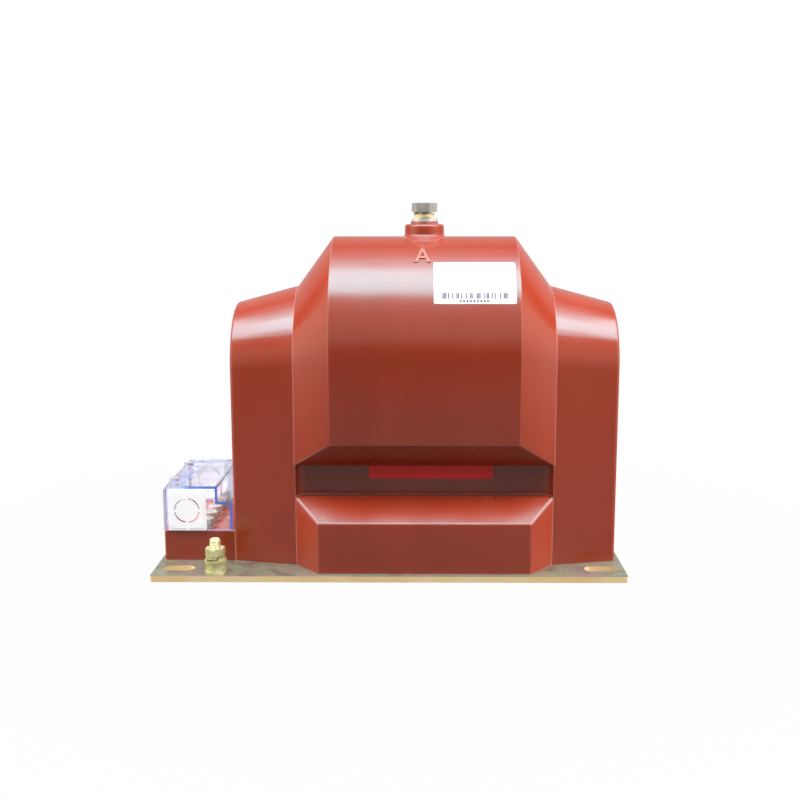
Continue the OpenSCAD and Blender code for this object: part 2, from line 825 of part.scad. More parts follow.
// Threaded inserts of the low voltage terminals, with the seats of the leads
module lv_inserts() {
    color("#c9a45a") difference() {
        at_lv_terminals() translate([0, 0, lv_insert_h0]) difference() {
            cylinder(h = lv_insert_len, d = lv_insert_d);
            translate([0, 0, lv_insert_floor]) cylinder(h = lv_insert_len, d = lv_screw_d + 2 * thread_gap);
        }
        secondary_leads();
    }
}

// Flat washers of the low voltage terminals
module lv_flat_washers() {
    color("#cfcfc8") at_lv_terminals() translate([0, 0, lv_washer_h0])
        washer(lv_washer_d, lv_screw_d + 2 * slide_gap, lv_washer_t);
}

// Spring washers of the low voltage terminals
module lv_spring_washers() {
    color("#c6c2b4") at_lv_terminals() translate([0, 0, lv_spring_h0])
        spring_washer(lv_spring_d, lv_screw_d + slide_gap, lv_spring_t, lv_spring_rise);
}

// Slotted screws of the low voltage terminals
module lv_screws() {
    dome_r = (lv_head_d * lv_head_d / 4 + lv_dome_h * lv_dome_h) / (2 * lv_dome_h);
    color("#d2d2cc") at_lv_terminals() translate([0, 0, lv_head_h0]) {
        difference() {
            intersection() {
                cylinder(h = lv_head_h, d = lv_head_d);
                translate([0, 0, lv_head_h - dome_r]) sphere(dome_r);
            }
            translate([-lv_head_d, -lv_slot_w / 2, lv_head_h - lv_slot_depth])
                cube([2 * lv_head_d, lv_slot_w, lv_slot_depth + eps]);
        }
        translate([0, 0, -lv_screw_len]) cylinder(h = lv_screw_len + eps, d = lv_screw_d);
    }
}

// Outline of the cover from the front: high part, low step and round outer edge
module cover_outline(inset) {
    r = cover_edge_r - inset;
    high_w = cover_high_w - 2 * inset;
    translate([inset, -eps]) square([high_w, cover_h - inset - r + eps]);
    translate([inset + r, -eps]) square([high_w - r, cover_h - inset + eps]);
    translate([inset + r, cover_h - inset - r]) circle(r);
    translate([inset, -eps]) square([cover_w - 2 * inset, cover_step_h - inset + eps]);
}

// Clear plastic cover over the low voltage terminals, open below
module terminal_cover() {
    color([0.72, 0.8, 0.95, 0.45]) on_plate() translate([cover_x0, 0, lv_block_h]) difference() {
        union() {
            difference() {
                along_y(cover_d) cover_outline(0);
                along_y(cover_d - 2 * cover_wall) cover_outline(cover_wall);
                translate([-eps, -cover_d, -2 * eps]) cube([cover_w + 2 * eps, 2 * cover_d, 2 * eps]);
            }
            for (s = [-1, 1])
                translate([cover_screw_x - cover_x0, s * cover_screw_pitch / 2, 0])
                    cylinder(h = cover_h - cover_wall / 2, d = cover_post_d);
            for (i = [0:rib_count - 1])
                translate([cover_edge_r, -rib_pitch * (rib_count - 1) / 2 + i * rib_pitch - rib_w / 2,
                    cover_h - cover_wall / 2])
                    cube([rib_len, rib_w, cover_wall / 2 + rib_h]);
        }
        for (s = [-1, 1]) {
            translate([cover_screw_x - cover_x0, s * cover_screw_pitch / 2, -eps])
                cylinder(h = cover_h + 2 * eps, d = cover_screw_d + 2 * slide_gap);
            translate([knockout_x - cover_x0, s * cover_d / 2, knockout_c_h - lv_block_h])
                cube([knockout_w - 2 * knockout_rim, 4 * cover_wall, knockout_h - 2 * knockout_rim],
                    center = true);
        }
    }
}

// Knock-out plate that closes a cable window of the cover, with a ring of slots
module knockout_plate() {
    plug_w = knockout_w - 2 * knockout_rim - slide_gap;
    plug_h = knockout_h - 2 * knockout_rim - slide_gap;
    ring_r = knockout_ring_d / 2;
    face_t = knockout_t + knockout_panel_t;
    panel_w = knockout_w - 2 * knockout_frame;
    panel_h = knockout_h - 2 * knockout_frame;
    rotate([90, 0, 0]) difference() {
        union() {
            linear_extrude(knockout_t) round_rect(knockout_w, knockout_h, knockout_corner_r);
            linear_extrude(face_t) round_rect(panel_w, panel_h, knockout_corner_r);
            translate([0, 0, -cover_wall]) linear_extrude(cover_wall + eps / 2)
                round_rect(plug_w, plug_h, knockout_plug_r);
            translate([0, -knockout_h / 2 + knockout_nib_d / 2, knockout_t])
                cylinder(h = knockout_nib_h, d = knockout_nib_d);
        }
        translate([0, 0, -cover_wall - eps]) linear_extrude(cover_wall + face_t - knockout_web_t)
            circle(ring_r + knockout_pocket);
        translate([0, 0, -cover_wall - eps]) linear_extrude(cover_wall + face_t + 2 * eps) difference() {
            circle(ring_r);
            circle(ring_r - knockout_slot_w);
            for (a = [0, 90])
                rotate(a) square([2 * knockout_ring_d, knockout_bridge_w], center = true);
        }
    }
}

// Knock-out plate at the front end of the cover
module front_knockout_plate() {
    color("#f2f1ee") on_plate() translate([knockout_x, -cover_d / 2, knockout_c_h]) knockout_plate();
}

// Knock-out plate at the back end of the cover
module rear_knockout_plate() {
    color("#f2f1ee") on_plate() translate([knockout_x, cover_d / 2, knockout_c_h])
        mirror([0, 1, 0]) knockout_plate();
}

// Repeats a piece at each screw of the cover
module at_cover_screws() {
    for (s = [-1, 1])
        on_plate() translate([cover_screw_x, s * cover_screw_pitch / 2, 0]) children();
}

// Seats of the cover inserts in the casting
module cover_insert_seats() {
    at_cover_screws() translate([0, 0, lv_block_h - cover_insert_len])
        cylinder(h = cover_insert_len + eps, d = cover_insert_d);
}

// Threaded inserts for the cover screws
module cover_inserts() {
    color("#c9a45a") at_cover_screws() translate([0, 0, lv_block_h - cover_insert_len]) difference() {
        cylinder(h = cover_insert_len, d = cover_insert_d);
        translate([0, 0, cover_insert_floor])
            cylinder(h = cover_insert_len, d = cover_screw_d + 2 * thread_gap);
    }
}

// Slotted screws of the cover
module cover_screws() {
    color("#cfcfc8") at_cover_screws() translate([0, 0, cover_top_h]) {
        difference() {
            cylinder(h = cover_head_h, d = cover_head_d);
            translate([-cover_head_d, -cover_slot_w / 2, cover_head_h - cover_slot_depth])
                cube([2 * cover_head_d, cover_slot_w, cover_slot_depth + eps]);
        }
        translate([0, 0, -cover_screw_len]) cylinder(h = cover_screw_len + eps, d = cover_screw_d);
    }
}

// Puts a piece at the earth terminal, on the plate
module at_earth() {
    on_plate() translate([-earth_x, -earth_y, 0]) children();
}

// Threaded stud with a head let in flush under the plate
module earth_stud() {
    r = earth_d / 2;
    color("#d6d0a0") at_earth() rotate_extrude() polygon([[0, -plate_t], [earth_head_d / 2, -plate_t],
        [earth_head_d / 2, earth_head_t - plate_t], [r, earth_head_t - plate_t],
        [r, earth_len - earth_tip_bevel], [r - earth_tip_bevel, earth_len], [0, earth_len]]);
}

// Washer on the plate
module earth_base_washer() {
    color("#d6cf98") at_earth() translate([0, 0, earth_washer_h0])
        washer(earth_washer_d, earth_d + 2 * slide_gap, earth_washer_t);
}

// One nut of the earth terminal
module earth_nut(h) {
    difference() {
        hex_form(earth_nut_af, h);
        translate([0, 0, -eps]) cylinder(h = h + 2 * eps, d = earth_d + 2 * thread_gap);
    }
}

// Lower nut that fixes the stud
module earth_lower_nut() {
    color("#d2cc9c") at_earth() translate([0, 0, earth_nut_h0])
        rotate([0, 0, earth_nut_turn]) earth_nut(earth_nut_h);
}

// Washer that presses on the earth wire
module earth_flat_washer() {
    color("#d6cf98") at_earth() translate([0, 0, earth_flat_h0])
        washer(earth_washer_d, earth_d + 2 * slide_gap, earth_washer_t);
}

// Spring washer of the earth terminal
module earth_spring_washer() {
    color("#cfc68a") at_earth() translate([0, 0, earth_spring_h0]) rotate([0, 0, earth_spring_turn])
        spring_washer(earth_spring_d, earth_d + slide_gap, earth_spring_t, earth_spring_rise);
}

// Upper nut of the earth terminal
module earth_top_nut() {
    color("#d2cc9c") at_earth() translate([0, 0, earth_top_nut_h0])
        rotate([0, 0, earth_top_nut_turn]) earth_nut(earth_top_nut_h);
}

// Repeats a piece at each body screw
module at_body_screws() {
    for (p = fix_points())
        on_plate() translate([p[0], p[1], 0]) children();
}

// Seats of the body inserts in the foot
module body_insert_seats() {
    at_body_screws() translate([0, 0, -eps]) cylinder(h = fix_insert_len + eps, d = fix_insert_d);
}

// Threaded inserts in the foot
module body_inserts() {
    color("#c9a45a") at_body_screws() difference() {
        cylinder(h = fix_insert_len, d = fix_insert_d);
        translate([0, 0, -eps])
            cylinder(h = fix_insert_len - fix_insert_floor + eps, d = fix_d + 2 * thread_gap);
    }
}

// Countersunk screws that hold the body on the plate
module body_screws() {
    color("#b8b8ae") at_body_screws() translate([0, 0, fix_recess - plate_t]) difference() {
        union() {
            cylinder(h = fix_cone_h, r1 = fix_head_r, r2 = fix_d / 2);
            cylinder(h = plate_t - fix_recess + fix_reach, d = fix_d);
        }
        translate([0, 0, -eps]) cylinder(h = fix_socket_h + eps, r = fix_socket_af / sqrt(3), $fn = 6);
    }
}

base_plate();
resin_body();
core_left();
core_right();
core_band();
core_earth_lead();
winding_tube();
measuring_winding();
residual_winding();
barrier_tube();
primary_winding();
outer_screen();
hv_lead();
neutral_lead();
secondary_leads();
hv_insert();
hv_flat_washer();
hv_spring_washer();
hv_bolt();
lv_inserts();
lv_flat_washers();
lv_spring_washers();
lv_screws();
terminal_cover();
front_knockout_plate();
rear_knockout_plate();
cover_screws();
cover_inserts();
earth_stud();
earth_base_washer();
earth_lower_nut();
earth_flat_washer();
earth_spring_washer();
earth_top_nut();
body_inserts();
body_screws();
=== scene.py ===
"""Looks of the cast resin voltage transformer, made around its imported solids. Lengths are in metres."""
import math
import bmesh
import bpy
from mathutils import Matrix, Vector


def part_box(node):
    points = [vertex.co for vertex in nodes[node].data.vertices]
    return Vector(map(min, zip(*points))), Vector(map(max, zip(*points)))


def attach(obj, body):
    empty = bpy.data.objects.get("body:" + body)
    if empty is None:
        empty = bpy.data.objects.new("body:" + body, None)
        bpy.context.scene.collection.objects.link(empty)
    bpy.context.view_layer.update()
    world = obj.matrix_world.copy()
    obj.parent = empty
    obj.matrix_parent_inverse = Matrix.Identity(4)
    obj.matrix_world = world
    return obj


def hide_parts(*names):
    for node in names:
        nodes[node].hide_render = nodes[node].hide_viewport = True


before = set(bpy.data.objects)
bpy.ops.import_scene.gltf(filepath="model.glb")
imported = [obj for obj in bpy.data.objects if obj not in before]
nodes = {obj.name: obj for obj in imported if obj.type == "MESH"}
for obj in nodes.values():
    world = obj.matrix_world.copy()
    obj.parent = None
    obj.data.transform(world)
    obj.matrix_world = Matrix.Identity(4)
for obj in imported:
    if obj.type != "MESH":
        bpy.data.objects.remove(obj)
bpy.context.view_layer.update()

MM = 0.001

# Driving places of the casting and the earth stud, as in the part's source
BODY_X = 26 * MM
PLATE_T = 4.5 * MM
WAIST_Y = -47 * MM
EARTH_X = BODY_X - 154 * MM
EARTH_Y = -74 * MM

# The block's oval top: half its depth, its middle's height, its rise, and a mean radius for lengths along it
BLOCK_HALF_D = 75 * MM
ROUND_Z = PLATE_T + 158 * MM
ROUND_RISE = 86 * MM
ROUND_R = 81 * MM

# Stickers stand off the casting by the thickness of their glue
GLUE_T = 0.02 * MM

# Sides of turned pieces
AROUND = 48

# Edges that turn by fewer degrees are shaded smooth
SMOOTH_ANGLE = 32

# Camera of the photograph
CAMERA_PLACE = (0.0214, -0.8565, 0.2659)
CAMERA_TILT = 80.4
CAMERA_TURN = 0.4
CAMERA_LENS = 49.68
CAMERA_SENSOR = 36
CAMERA_SHIFT_X = -0.0133

# Studio: the lamps' middle, the ceiling and what it faces, the world's own light, and the white sheets
STUDIO_X = 0.02
CEILING_Z = 1.15
AIM_Z = 0.2
AMBIENT = 0.09
WALL_HALF_W = 2.5
WALL_Y = 1.5
WALL_H = 2.2
FLOOR_HALF = 6.0


class Paint:
    """A procedural material. Its patterns lie in the part's own frame."""

    def __init__(self, name, **constants):
        self.material = bpy.data.materials.new(name)
        self.material.use_nodes = True
        self.nodes = self.material.node_tree.nodes
        self.links = self.material.node_tree.links
        self.shader = self.nodes["Principled BSDF"]
        self.place = self.nodes.new("ShaderNodeTexCoord").outputs["Object"]
        for socket, value in constants.items():
            self.shader.inputs[socket.replace("_", " ")].default_value = value

    def feed(self, socket, source):
        """Gives a node's socket a link or a constant."""
        if hasattr(source, "is_output"):
            self.links.new(source, socket)
        else:
            socket.default_value = source

    def put(self, socket, source):
        """Links a source to a socket of the shader."""
        self.links.new(source, self.shader.inputs[socket])

    def noise(self, scale, detail=3.0, stretch=(1, 1, 1), distortion=0.0):
        """Cloudy pattern from 0 to 1. A larger stretch along an axis makes it finer there."""
        mapping = self.nodes.new("ShaderNodeMapping")
        mapping.inputs["Scale"].default_value = stretch
        self.links.new(self.place, mapping.inputs["Vector"])
        texture = self.nodes.new("ShaderNodeTexNoise")
        texture.inputs["Scale"].default_value = scale
        texture.inputs["Detail"].default_value = detail
        texture.inputs["Distortion"].default_value = distortion
        self.links.new(mapping.outputs["Vector"], texture.inputs["Vector"])
        return texture.outputs["Fac"]

    def level(self, source, low, high, start=0.0, end=1.0):
        """Maps start..end of a source to low..high, held at both ends."""
        node = self.nodes.new("ShaderNodeMapRange")
        self.links.new(source, node.inputs["Value"])
        node.inputs["From Min"].default_value = start
        node.inputs["From Max"].default_value = end
        node.inputs["To Min"].default_value = low
        node.inputs["To Max"].default_value = high
        return node.outputs["Result"]

    def ramp(self, source, *stops):
        """Colours by a source. Stops are (position, colour)."""
        node = self.nodes.new("ShaderNodeValToRGB")
        elements = node.color_ramp.elements
        while len(elements) < len(stops):
            elements.new(0.5)
        for element, (position, colour) in zip(elements, stops):
            element.position = position
            element.color = (*colour, 1)
        self.links.new(source, node.inputs["Fac"])
        return node.outputs["Color"]

    def mix(self, share, first, second):
        """Colour between first and second. A share of 1 gives the second."""
        node = self.nodes.new("ShaderNodeMix")
        node.data_type = "RGBA"
        self.feed(node.inputs["Factor"], share)
        # A mix node's colour sockets are its inputs 6 and 7, and its output 2
        for socket, source in ((node.inputs[6], first), (node.inputs[7], second)):
            self.feed(socket, (*source, 1) if isinstance(source, tuple) else source)
        return node.outputs[2]

    def math(self, operation, first, second=0.0):
        """Result of a math node. Each side is a link or a number."""
        node = self.nodes.new("ShaderNodeMath")
        node.operation = operation
        self.feed(node.inputs[0], first)
        self.feed(node.inputs[1], second)
        return node.outputs["Value"]

    def above(self, source, value):
        return self.math("GREATER_THAN", source, value)

    def below(self, source, value):
        return self.math("LESS_THAN", source, value)

    def both(self, first, second):
        return self.math("MULTIPLY", first, second)

    def either(self, first, second):
        return self.math("MAXIMUM", first, second)

    def axis(self, source, name):
        """One coordinate of a vector."""
        node = self.nodes.new("ShaderNodeSeparateXYZ")
        self.links.new(source, node.inputs["Vector"])
        return node.outputs[name]

    def normal(self, name):
        """One coordinate of the surface normal."""
        geometry = self.nodes.new("ShaderNodeNewGeometry")
        return self.axis(geometry.outputs["Normal"], name)

    def soft_normal(self, radius):
        """Normal with its edges rounded by a radius in metres."""
        node = self.nodes.new("ShaderNodeBevel")
        node.samples = 4
        node.inputs["Radius"].default_value = radius
        return node.outputs["Normal"]

    def along_normal(self, source):
        """1 where a direction lies along the surface normal."""
        node = self.nodes.new("ShaderNodeVectorMath")
        node.operation = "DOT_PRODUCT"
        self.links.new(source, node.inputs[0])
        self.links.new(self.nodes.new("ShaderNodeNewGeometry").outputs["Normal"], node.inputs[1])
        return node.outputs["Value"]

    def bump(self, *layers, start=None):
        """Layers are (height source, depth in metres), laid over the start normal."""
        last = start
        for source, depth in layers:
            node = self.nodes.new("ShaderNodeBump")
            node.inputs["Strength"].default_value = 1.0
            node.inputs["Distance"].default_value = depth
            self.links.new(source, node.inputs["Height"])
            if last is not None:
                self.links.new(last, node.inputs["Normal"])
            last = node.outputs["Normal"]
        self.put("Normal", last)


def resin_paint(name="resin_finish", painted_light=0.0):
    """Filled red-brown epoxy, glossy from the mould, with flow streaks and specks, and a painted highlight
    along its edges. A second argument above 0 adds blotches of painted highlight on faces that look up and
    painted shade on faces that look down.
    """
    p = Paint(name, IOR=1.58, Specular_IOR_Level=0.95, Specular_Tint=(0.30, 0.87, 0.97, 1))
    flow = p.noise(7, 4, stretch=(3.2, 3.2, 0.5), distortion=0.4)
    base = p.ramp(
        flow,
        (0.30, (0.280, 0.025, 0.005)),
        (0.52, (0.300, 0.028, 0.006)),
        (0.75, (0.322, 0.033, 0.008)),
    )
    clouds = p.noise(11, 3)
    base = p.mix(p.level(clouds, 0.0, 0.35, 0.42, 0.75), base, (0.29, 0.034, 0.014))
    specks = p.noise(1500, 1)
    base = p.mix(p.level(specks, 0.0, 0.40, 0.71, 0.78), base, (0.16, 0.014, 0.006))
    dust = p.noise(620, 2)
    base = p.mix(p.level(dust, 0.0, 0.15, 0.70, 0.80), base, (0.62, 0.26, 0.18))
    edge_r = 1.1 * MM
    soft = p.soft_normal(edge_r)
    edge_highlight_share = p.math("SUBTRACT", 1.0, p.along_normal(soft))
    # Painted highlight: the colour is paled along the edges and rounds, as if they caught the lamps
    base = p.mix(p.level(edge_highlight_share, 0.0, 0.6, 0.01, 0.06), base, (0.78, 0.46, 0.44))
    # Painted light on the raised letter: blotches of painted highlight on faces that look up, and painted
    # shade on faces that look down
    if painted_light:
        upward = p.level(p.normal("Z"), 0.0, 1.0, 0.1, 0.5)
        painted_highlight = p.both(upward, p.level(p.noise(700, 2), 0.7 * painted_light, painted_light))
        base = p.mix(painted_highlight, p.mix(upward, (0.10, 0.008, 0.008), base), (0.66, 0.27, 0.20))
    p.put("Base Color", base)
    p.put("Roughness", p.level(p.noise(24, 5), 0.20, 0.28, 0.3, 0.7))
    p.bump((p.noise(16, 1), 0.8 * MM), (p.noise(420, 2), 0.006 * MM), start=soft)
    return p.material


def plate_paint():
    """Yellow passivated zinc on rolled sheet: olive grey above with rainbow tints. Its cut edges and slot
    walls are golden and painted far paler than the top, as painted light on the sides.
    """
    p = Paint("plate_finish")
    cloud = p.noise(38, 4, stretch=(1, 1.6, 1), distortion=0.8)
    top = p.ramp(
        cloud,
        (0.28, (0.15, 0.13, 0.11)),
        (0.42, (0.24, 0.22, 0.17)),
        (0.50, (0.27, 0.30, 0.20)),
        (0.60, (0.31, 0.25, 0.23)),
        (0.72, (0.21, 0.17, 0.17)),
    )
    tint = p.noise(95, 3, distortion=1.2)
    top = p.mix(p.level(tint, 0.0, 0.55, 0.55, 0.7), top, (0.33, 0.36, 0.26))
    top = p.mix(p.level(p.noise(70, 2), 0.0, 0.4, 0.58, 0.72), top, (0.38, 0.25, 0.25))
    # Painted light on the sides: a golden colour much paler than the top's, so they look lit
    lit_edge_colour = p.ramp(
        p.noise(30, 3),
        (0.35, (0.92, 0.66, 0.33)),
        (0.60, (0.96, 0.76, 0.46)),
        (0.75, (0.90, 0.74, 0.30)),
    )
    upward = p.level(p.math("ABSOLUTE", p.normal("Z")), 0.0, 1.0, 0.4, 0.6)
    p.put("Base Color", p.mix(upward, lit_edge_colour, top))
    p.put("Metallic", p.level(upward, 0.15, 0.5))
    scratches = p.noise(60, 2, stretch=(30, 1, 1))
    p.put("Roughness", p.level(scratches, 0.30, 0.46, 0.35, 0.65))
    p.bump((p.noise(420, 3), 0.03 * MM), (scratches, 0.015 * MM))
    return p.material


def zinc_paint(name, low, high, roughness=0.34):
    """Plated metal of fasteners: two tones in blotches, fine turning marks and rubbed spots."""
    p = Paint(name, Metallic=0.6)
    blotch = p.noise(130, 3, distortion=0.5)
    p.put("Base Color", p.ramp(blotch, (0.35, low), (0.65, high)))
    marks = p.noise(900, 2, stretch=(0.3, 0.3, 3))
    p.put("Roughness", p.level(marks, roughness - 0.06, roughness + 0.10, 0.3, 0.7))
    p.bump((marks, 0.01 * MM))
    return p.material


def copper_alloy_paint():
    """Turned copper alloy of the high voltage insert, reddish from the resin skin."""
    p = Paint("insert_finish", Metallic=0.75)
    p.put("Base Color", p.ramp(p.noise(280, 3), (0.35, (0.46, 0.16, 0.16)), (0.65, (0.66, 0.34, 0.34))))
    p.put("Roughness", p.level(p.noise(600, 2), 0.28, 0.42, 0.3, 0.7))
    p.bump((p.noise(900, 2, stretch=(0.2, 0.2, 4)), 0.01 * MM))
    return p.material


def edge_blue(p):
    """Colour of the light out of the clear plastic's edges: lavender at the left, blue at the right."""
    low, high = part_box("terminal_cover")
    across = p.level(p.axis(p.place, "X"), 0.0, 1.0, low.x, high.x)
    wavy = p.math("ADD", across, p.level(p.noise(60, 2), -0.05, 0.05))
    return p.ramp(
        wavy,
        (0.05, (0.70, 0.64, 0.95)),
        (0.20, (0.62, 0.72, 0.96)),
        (0.40, (0.16, 0.31, 0.92)),
        (0.90, (0.12, 0.25, 0.88)),
    )


def clear_paint():
    """Clear plastic of the cover, with faint haze and wiping marks, painted shade on its top faces, and
    painted blue light in its walls seen end on.
    """
    p = Paint("cover_finish", IOR=1.46)
    low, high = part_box("terminal_cover")
    wall = 2.0 * MM
    # Seen from its end, the cover steps down at its right
    step_x = low.x + 41.2 * MM
    step_z = low.z + 22.5 * MM
    top_z = low.z + 34.4 * MM
    foot_z = low.z + 0.8 * MM
    x = p.axis(p.place, "X")
    z = p.axis(p.place, "Z")
    outline = p.either(p.below(x, low.x + wall), p.above(x, high.x - wall))
    outline = p.either(outline, p.above(z, top_z - wall))
    inside_step = p.either(p.below(x, step_x), p.below(z, step_z))
    past_walls = p.both(p.above(x, step_x - wall), p.above(z, step_z - wall))
    outline = p.either(outline, p.both(past_walls, inside_step))
    foot = p.below(z, foot_z)
    outline = p.either(outline, foot)
    ends = p.above(p.math("ABSOLUTE", p.normal("Y")), 0.7)
    shown = p.both(outline, ends)
    haze_and_top_shade = p.ramp(p.noise(45, 3), (0.3, (0.86, 0.88, 0.97)), (0.7, (0.93, 0.94, 1.0)))
    # Painted shade: faces that look up are tinted a darker grey lavender
    haze_and_top_shade = p.mix(p.above(p.normal("Z"), 0.7), haze_and_top_shade, (0.74, 0.74, 0.85))
    # Painted light: walls seen end on are blue, lilac at the foot, and nearly opaque
    p.put("Base Color", p.mix(shown, haze_and_top_shade, p.mix(foot, edge_blue(p), (0.70, 0.48, 0.78))))
    p.put("Transmission Weight", p.level(shown, 1.0, 0.15))
    p.put("Roughness", p.level(p.noise(160, 4), 0.02, 0.09, 0.4, 0.75))
    p.bump((p.noise(26, 2), 0.6 * MM))
    return p.material


def blue_edge_paint():
    """Rounded edges of the clear plastic, where the light that runs inside it comes out blue."""
    p = Paint("cover_edge_finish", IOR=1.46)
    p.put("Base Color", edge_blue(p))
    p.put("Roughness", p.level(p.noise(200, 2), 0.12, 0.22))
    return p.material


def paper_paint():
    """White paper of the label with a faint unevenness."""
    p = Paint("label_finish")
    p.put("Base Color", p.ramp(p.noise(120, 3), (0.35, (0.60, 0.61, 0.63)), (0.65, (0.65, 0.66, 0.67))))
    p.put("Roughness", p.level(p.noise(300, 3), 0.44, 0.56))
    p.bump((p.noise(800, 2), 0.006 * MM))
    return p.material


def knockout_paint():
    """Translucent white plastic that glows a little as painted light, with painted shade in the ring slot of
    the knock-out.
    """
    # Painted light: the white plastic glows a little of itself, though it is no lamp
    glow = 0.22
    p = Paint("knockout_finish", Emission_Color=(0.90, 0.92, 1.0, 1), Emission_Strength=glow)
    low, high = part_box("front_knockout_plate")
    ring_inner = 8.0 * MM
    ring_outer = 11.2 * MM
    across = p.math("SUBTRACT", p.axis(p.place, "X"), (low.x + high.x) / 2)
    up = p.math("SUBTRACT", p.axis(p.place, "Z"), (low.z + high.z) / 2)
    reach = p.math("SQRT", p.math("ADD", p.math("POWER", across, 2.0), p.math("POWER", up, 2.0)))
    near_ring = p.both(p.below(reach, ring_outer), p.above(reach, ring_inner))
    wall = p.below(p.math("ABSOLUTE", p.normal("Y")), 0.6)
    # Painted shade: the ring slot's walls are nearly black and do not glow
    painted_slot_shade = p.both(near_ring, wall)
    white = p.ramp(p.noise(120, 3), (0.35, (0.86, 0.87, 0.92)), (0.65, (0.91, 0.92, 0.96)))
    p.put("Base Color", p.mix(painted_slot_shade, white, (0.03, 0.03, 0.035)))
    p.put("Emission Strength", p.level(painted_slot_shade, glow, 0.0))
    p.put("Roughness", p.level(p.noise(300, 3), 0.32, 0.44))
    p.bump((p.noise(800, 2), 0.006 * MM))
    return p.material


def ink_paint(name, low, high, roughness=0.5):
    """Printed or painted colour that covers unevenly."""
    p = Paint(name)
    p.put("Base Color", p.ramp(p.noise(900, 3), (0.35, low), (0.65, high)))
    p.put("Roughness", p.level(p.noise(400, 2), roughness - 0.08, roughness + 0.08))
    return p.material


def wound_paint(name, low, high, metallic, roughness):
    """Inner pieces that the casting hides: wire, strip, board or metal cloth."""
    p = Paint(name, Metallic=metallic)
    p.put("Base Color", p.ramp(p.noise(80, 3, stretch=(12, 1, 1)), (0.35, low), (0.65, high)))
    p.put("Roughness", p.level(p.noise(200, 2), roughness - 0.08, roughness + 0.08))
    p.bump((p.noise(160, 2, stretch=(10, 1, 1)), 0.08 * MM))
    return p.material


def smoothing_group():
    """Node group that joins split corners and keeps only sharp edges sharp."""
    group = bpy.data.node_groups.new("smooth_shading", "GeometryNodeTree")
    group.interface.new_socket("Geometry", in_out="INPUT", socket_type="NodeSocketGeometry")
    group.interface.new_socket("Angle", in_out="INPUT", socket_type="NodeSocketFloat")
    group.interface.new_socket("Geometry", in_out="OUTPUT", socket_type="NodeSocketGeometry")
    entry = group.nodes.new("NodeGroupInput")
    leave = group.nodes.new("NodeGroupOutput")
    merge = group.nodes.new("GeometryNodeMergeByDistance")
    merge.inputs["Distance"].default_value = 0.002 * MM
    angle = group.nodes.new("GeometryNodeInputMeshEdgeAngle")
    compare = group.nodes.new("FunctionNodeCompare")
    compare.operation = "LESS_THAN"
    faces = group.nodes.new("GeometryNodeSetShadeSmooth")
    faces.domain = "FACE"
    edges = group.nodes.new("GeometryNodeSetShadeSmooth")
    edges.domain = "EDGE"
    link = group.links.new
    link(entry.outputs["Geometry"], merge.inputs["Geometry"])
    link(merge.outputs["Geometry"], faces.inputs["Geometry"])
    link(faces.outputs["Geometry"], edges.inputs["Geometry"])
    link(angle.outputs["Unsigned Angle"], compare.inputs["A"])
    link(entry.outputs["Angle"], compare.inputs["B"])
    link(compare.outputs["Result"], edges.inputs["Shade Smooth"])
    link(edges.outputs["Geometry"], leave.inputs["Geometry"])
    return group


SMOOTHING = smoothing_group()


def smooth(obj, degrees=SMOOTH_ANGLE, weighted=True):
    """Shades a piece smoothly over its small facets. Weighting by area keeps its flat faces flat."""
    normals = obj.data.attributes.get("custom_normal")
    if normals is not None:
        obj.data.attributes.remove(normals)
    modifier = obj.modifiers.new("smooth_shading", "NODES")
    modifier.node_group = SMOOTHING
    # Socket_1 is the group's Angle
    modifier["Socket_1"] = math.radians(degrees)
    if weighted:
        flat = obj.modifiers.new("flat_faces", "WEIGHTED_NORMAL")
        flat.keep_sharp = True
        flat.weight = 50


def dress(paint, *names, angle=SMOOTH_ANGLE, weighted=True):
    """Gives CAD nodes their finish."""
    for name in names:
        obj = nodes[name]
        obj.data.materials.clear()
        obj.data.materials.append(paint)
        smooth(obj, angle, weighted)


def link_new(name, data):
    """A new object in the scene."""
    obj = bpy.data.objects.new(name, data)
    bpy.context.scene.collection.objects.link(obj)
    return obj


def mesh_piece(name, mesh, paint):
    """A new piece that rides on the part."""
    obj = link_new(name, mesh)
    mesh.materials.append(paint)
    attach(obj, "root")
    return obj


def fill_mesh(mesh, bm):
    """Writes a bmesh into a mesh, its faces turned outward."""
    bmesh.ops.recalc_face_normals(bm, faces=bm.faces[:])
    bm.to_mesh(mesh)
    bm.free()
    return mesh


def thicken(bm, shift):
    """Makes a thin solid of a flat sheet. Its second side lies off by the shift."""
    made = bmesh.ops.extrude_face_region(bm, geom=bm.faces[:])
    for item in made["geom"]:
        if isinstance(item, bmesh.types.BMVert):
            item.co += Vector(shift)


def rounded_outline(x0, x1, y0, y1, r, steps=6):
    """Corner points of a rectangle with round corners, anticlockwise."""
    if r <= 0:
        return [(x0, y0), (x1, y0), (x1, y1), (x0, y1)]
    centres = [(x1 - r, y0 + r, -90), (x1 - r, y1 - r, 0), (x0 + r, y1 - r, 90), (x0 + r, y0 + r, 180)]
    points = []
    for cx, cy, start in centres:
        for k in range(steps + 1):
            a = math.radians(start + 90 * k / steps)
            points.append((cx + r * math.cos(a), cy + r * math.sin(a)))
    return points


def on_block(x, angle, lift=0.0):
    """A point over the front of the block's oval top: x from the body's middle, angle round the oval."""
    across = math.cos(math.radians(angle))
    up = math.sin(math.radians(angle))
    outward = Vector((0, -across / BLOCK_HALF_D, up / ROUND_RISE)).normalized()
    return Vector((BODY_X + x, -BLOCK_HALF_D * across, ROUND_Z + ROUND_RISE * up)) + outward * lift


def lay_on_block(bm, low):
    """Bends a flat bmesh over the block, its foot at the angle low."""
    for v in bm.verts:
        v.co = on_block(v.co.x, low + math.degrees(v.co.y / ROUND_R), v.co.z)


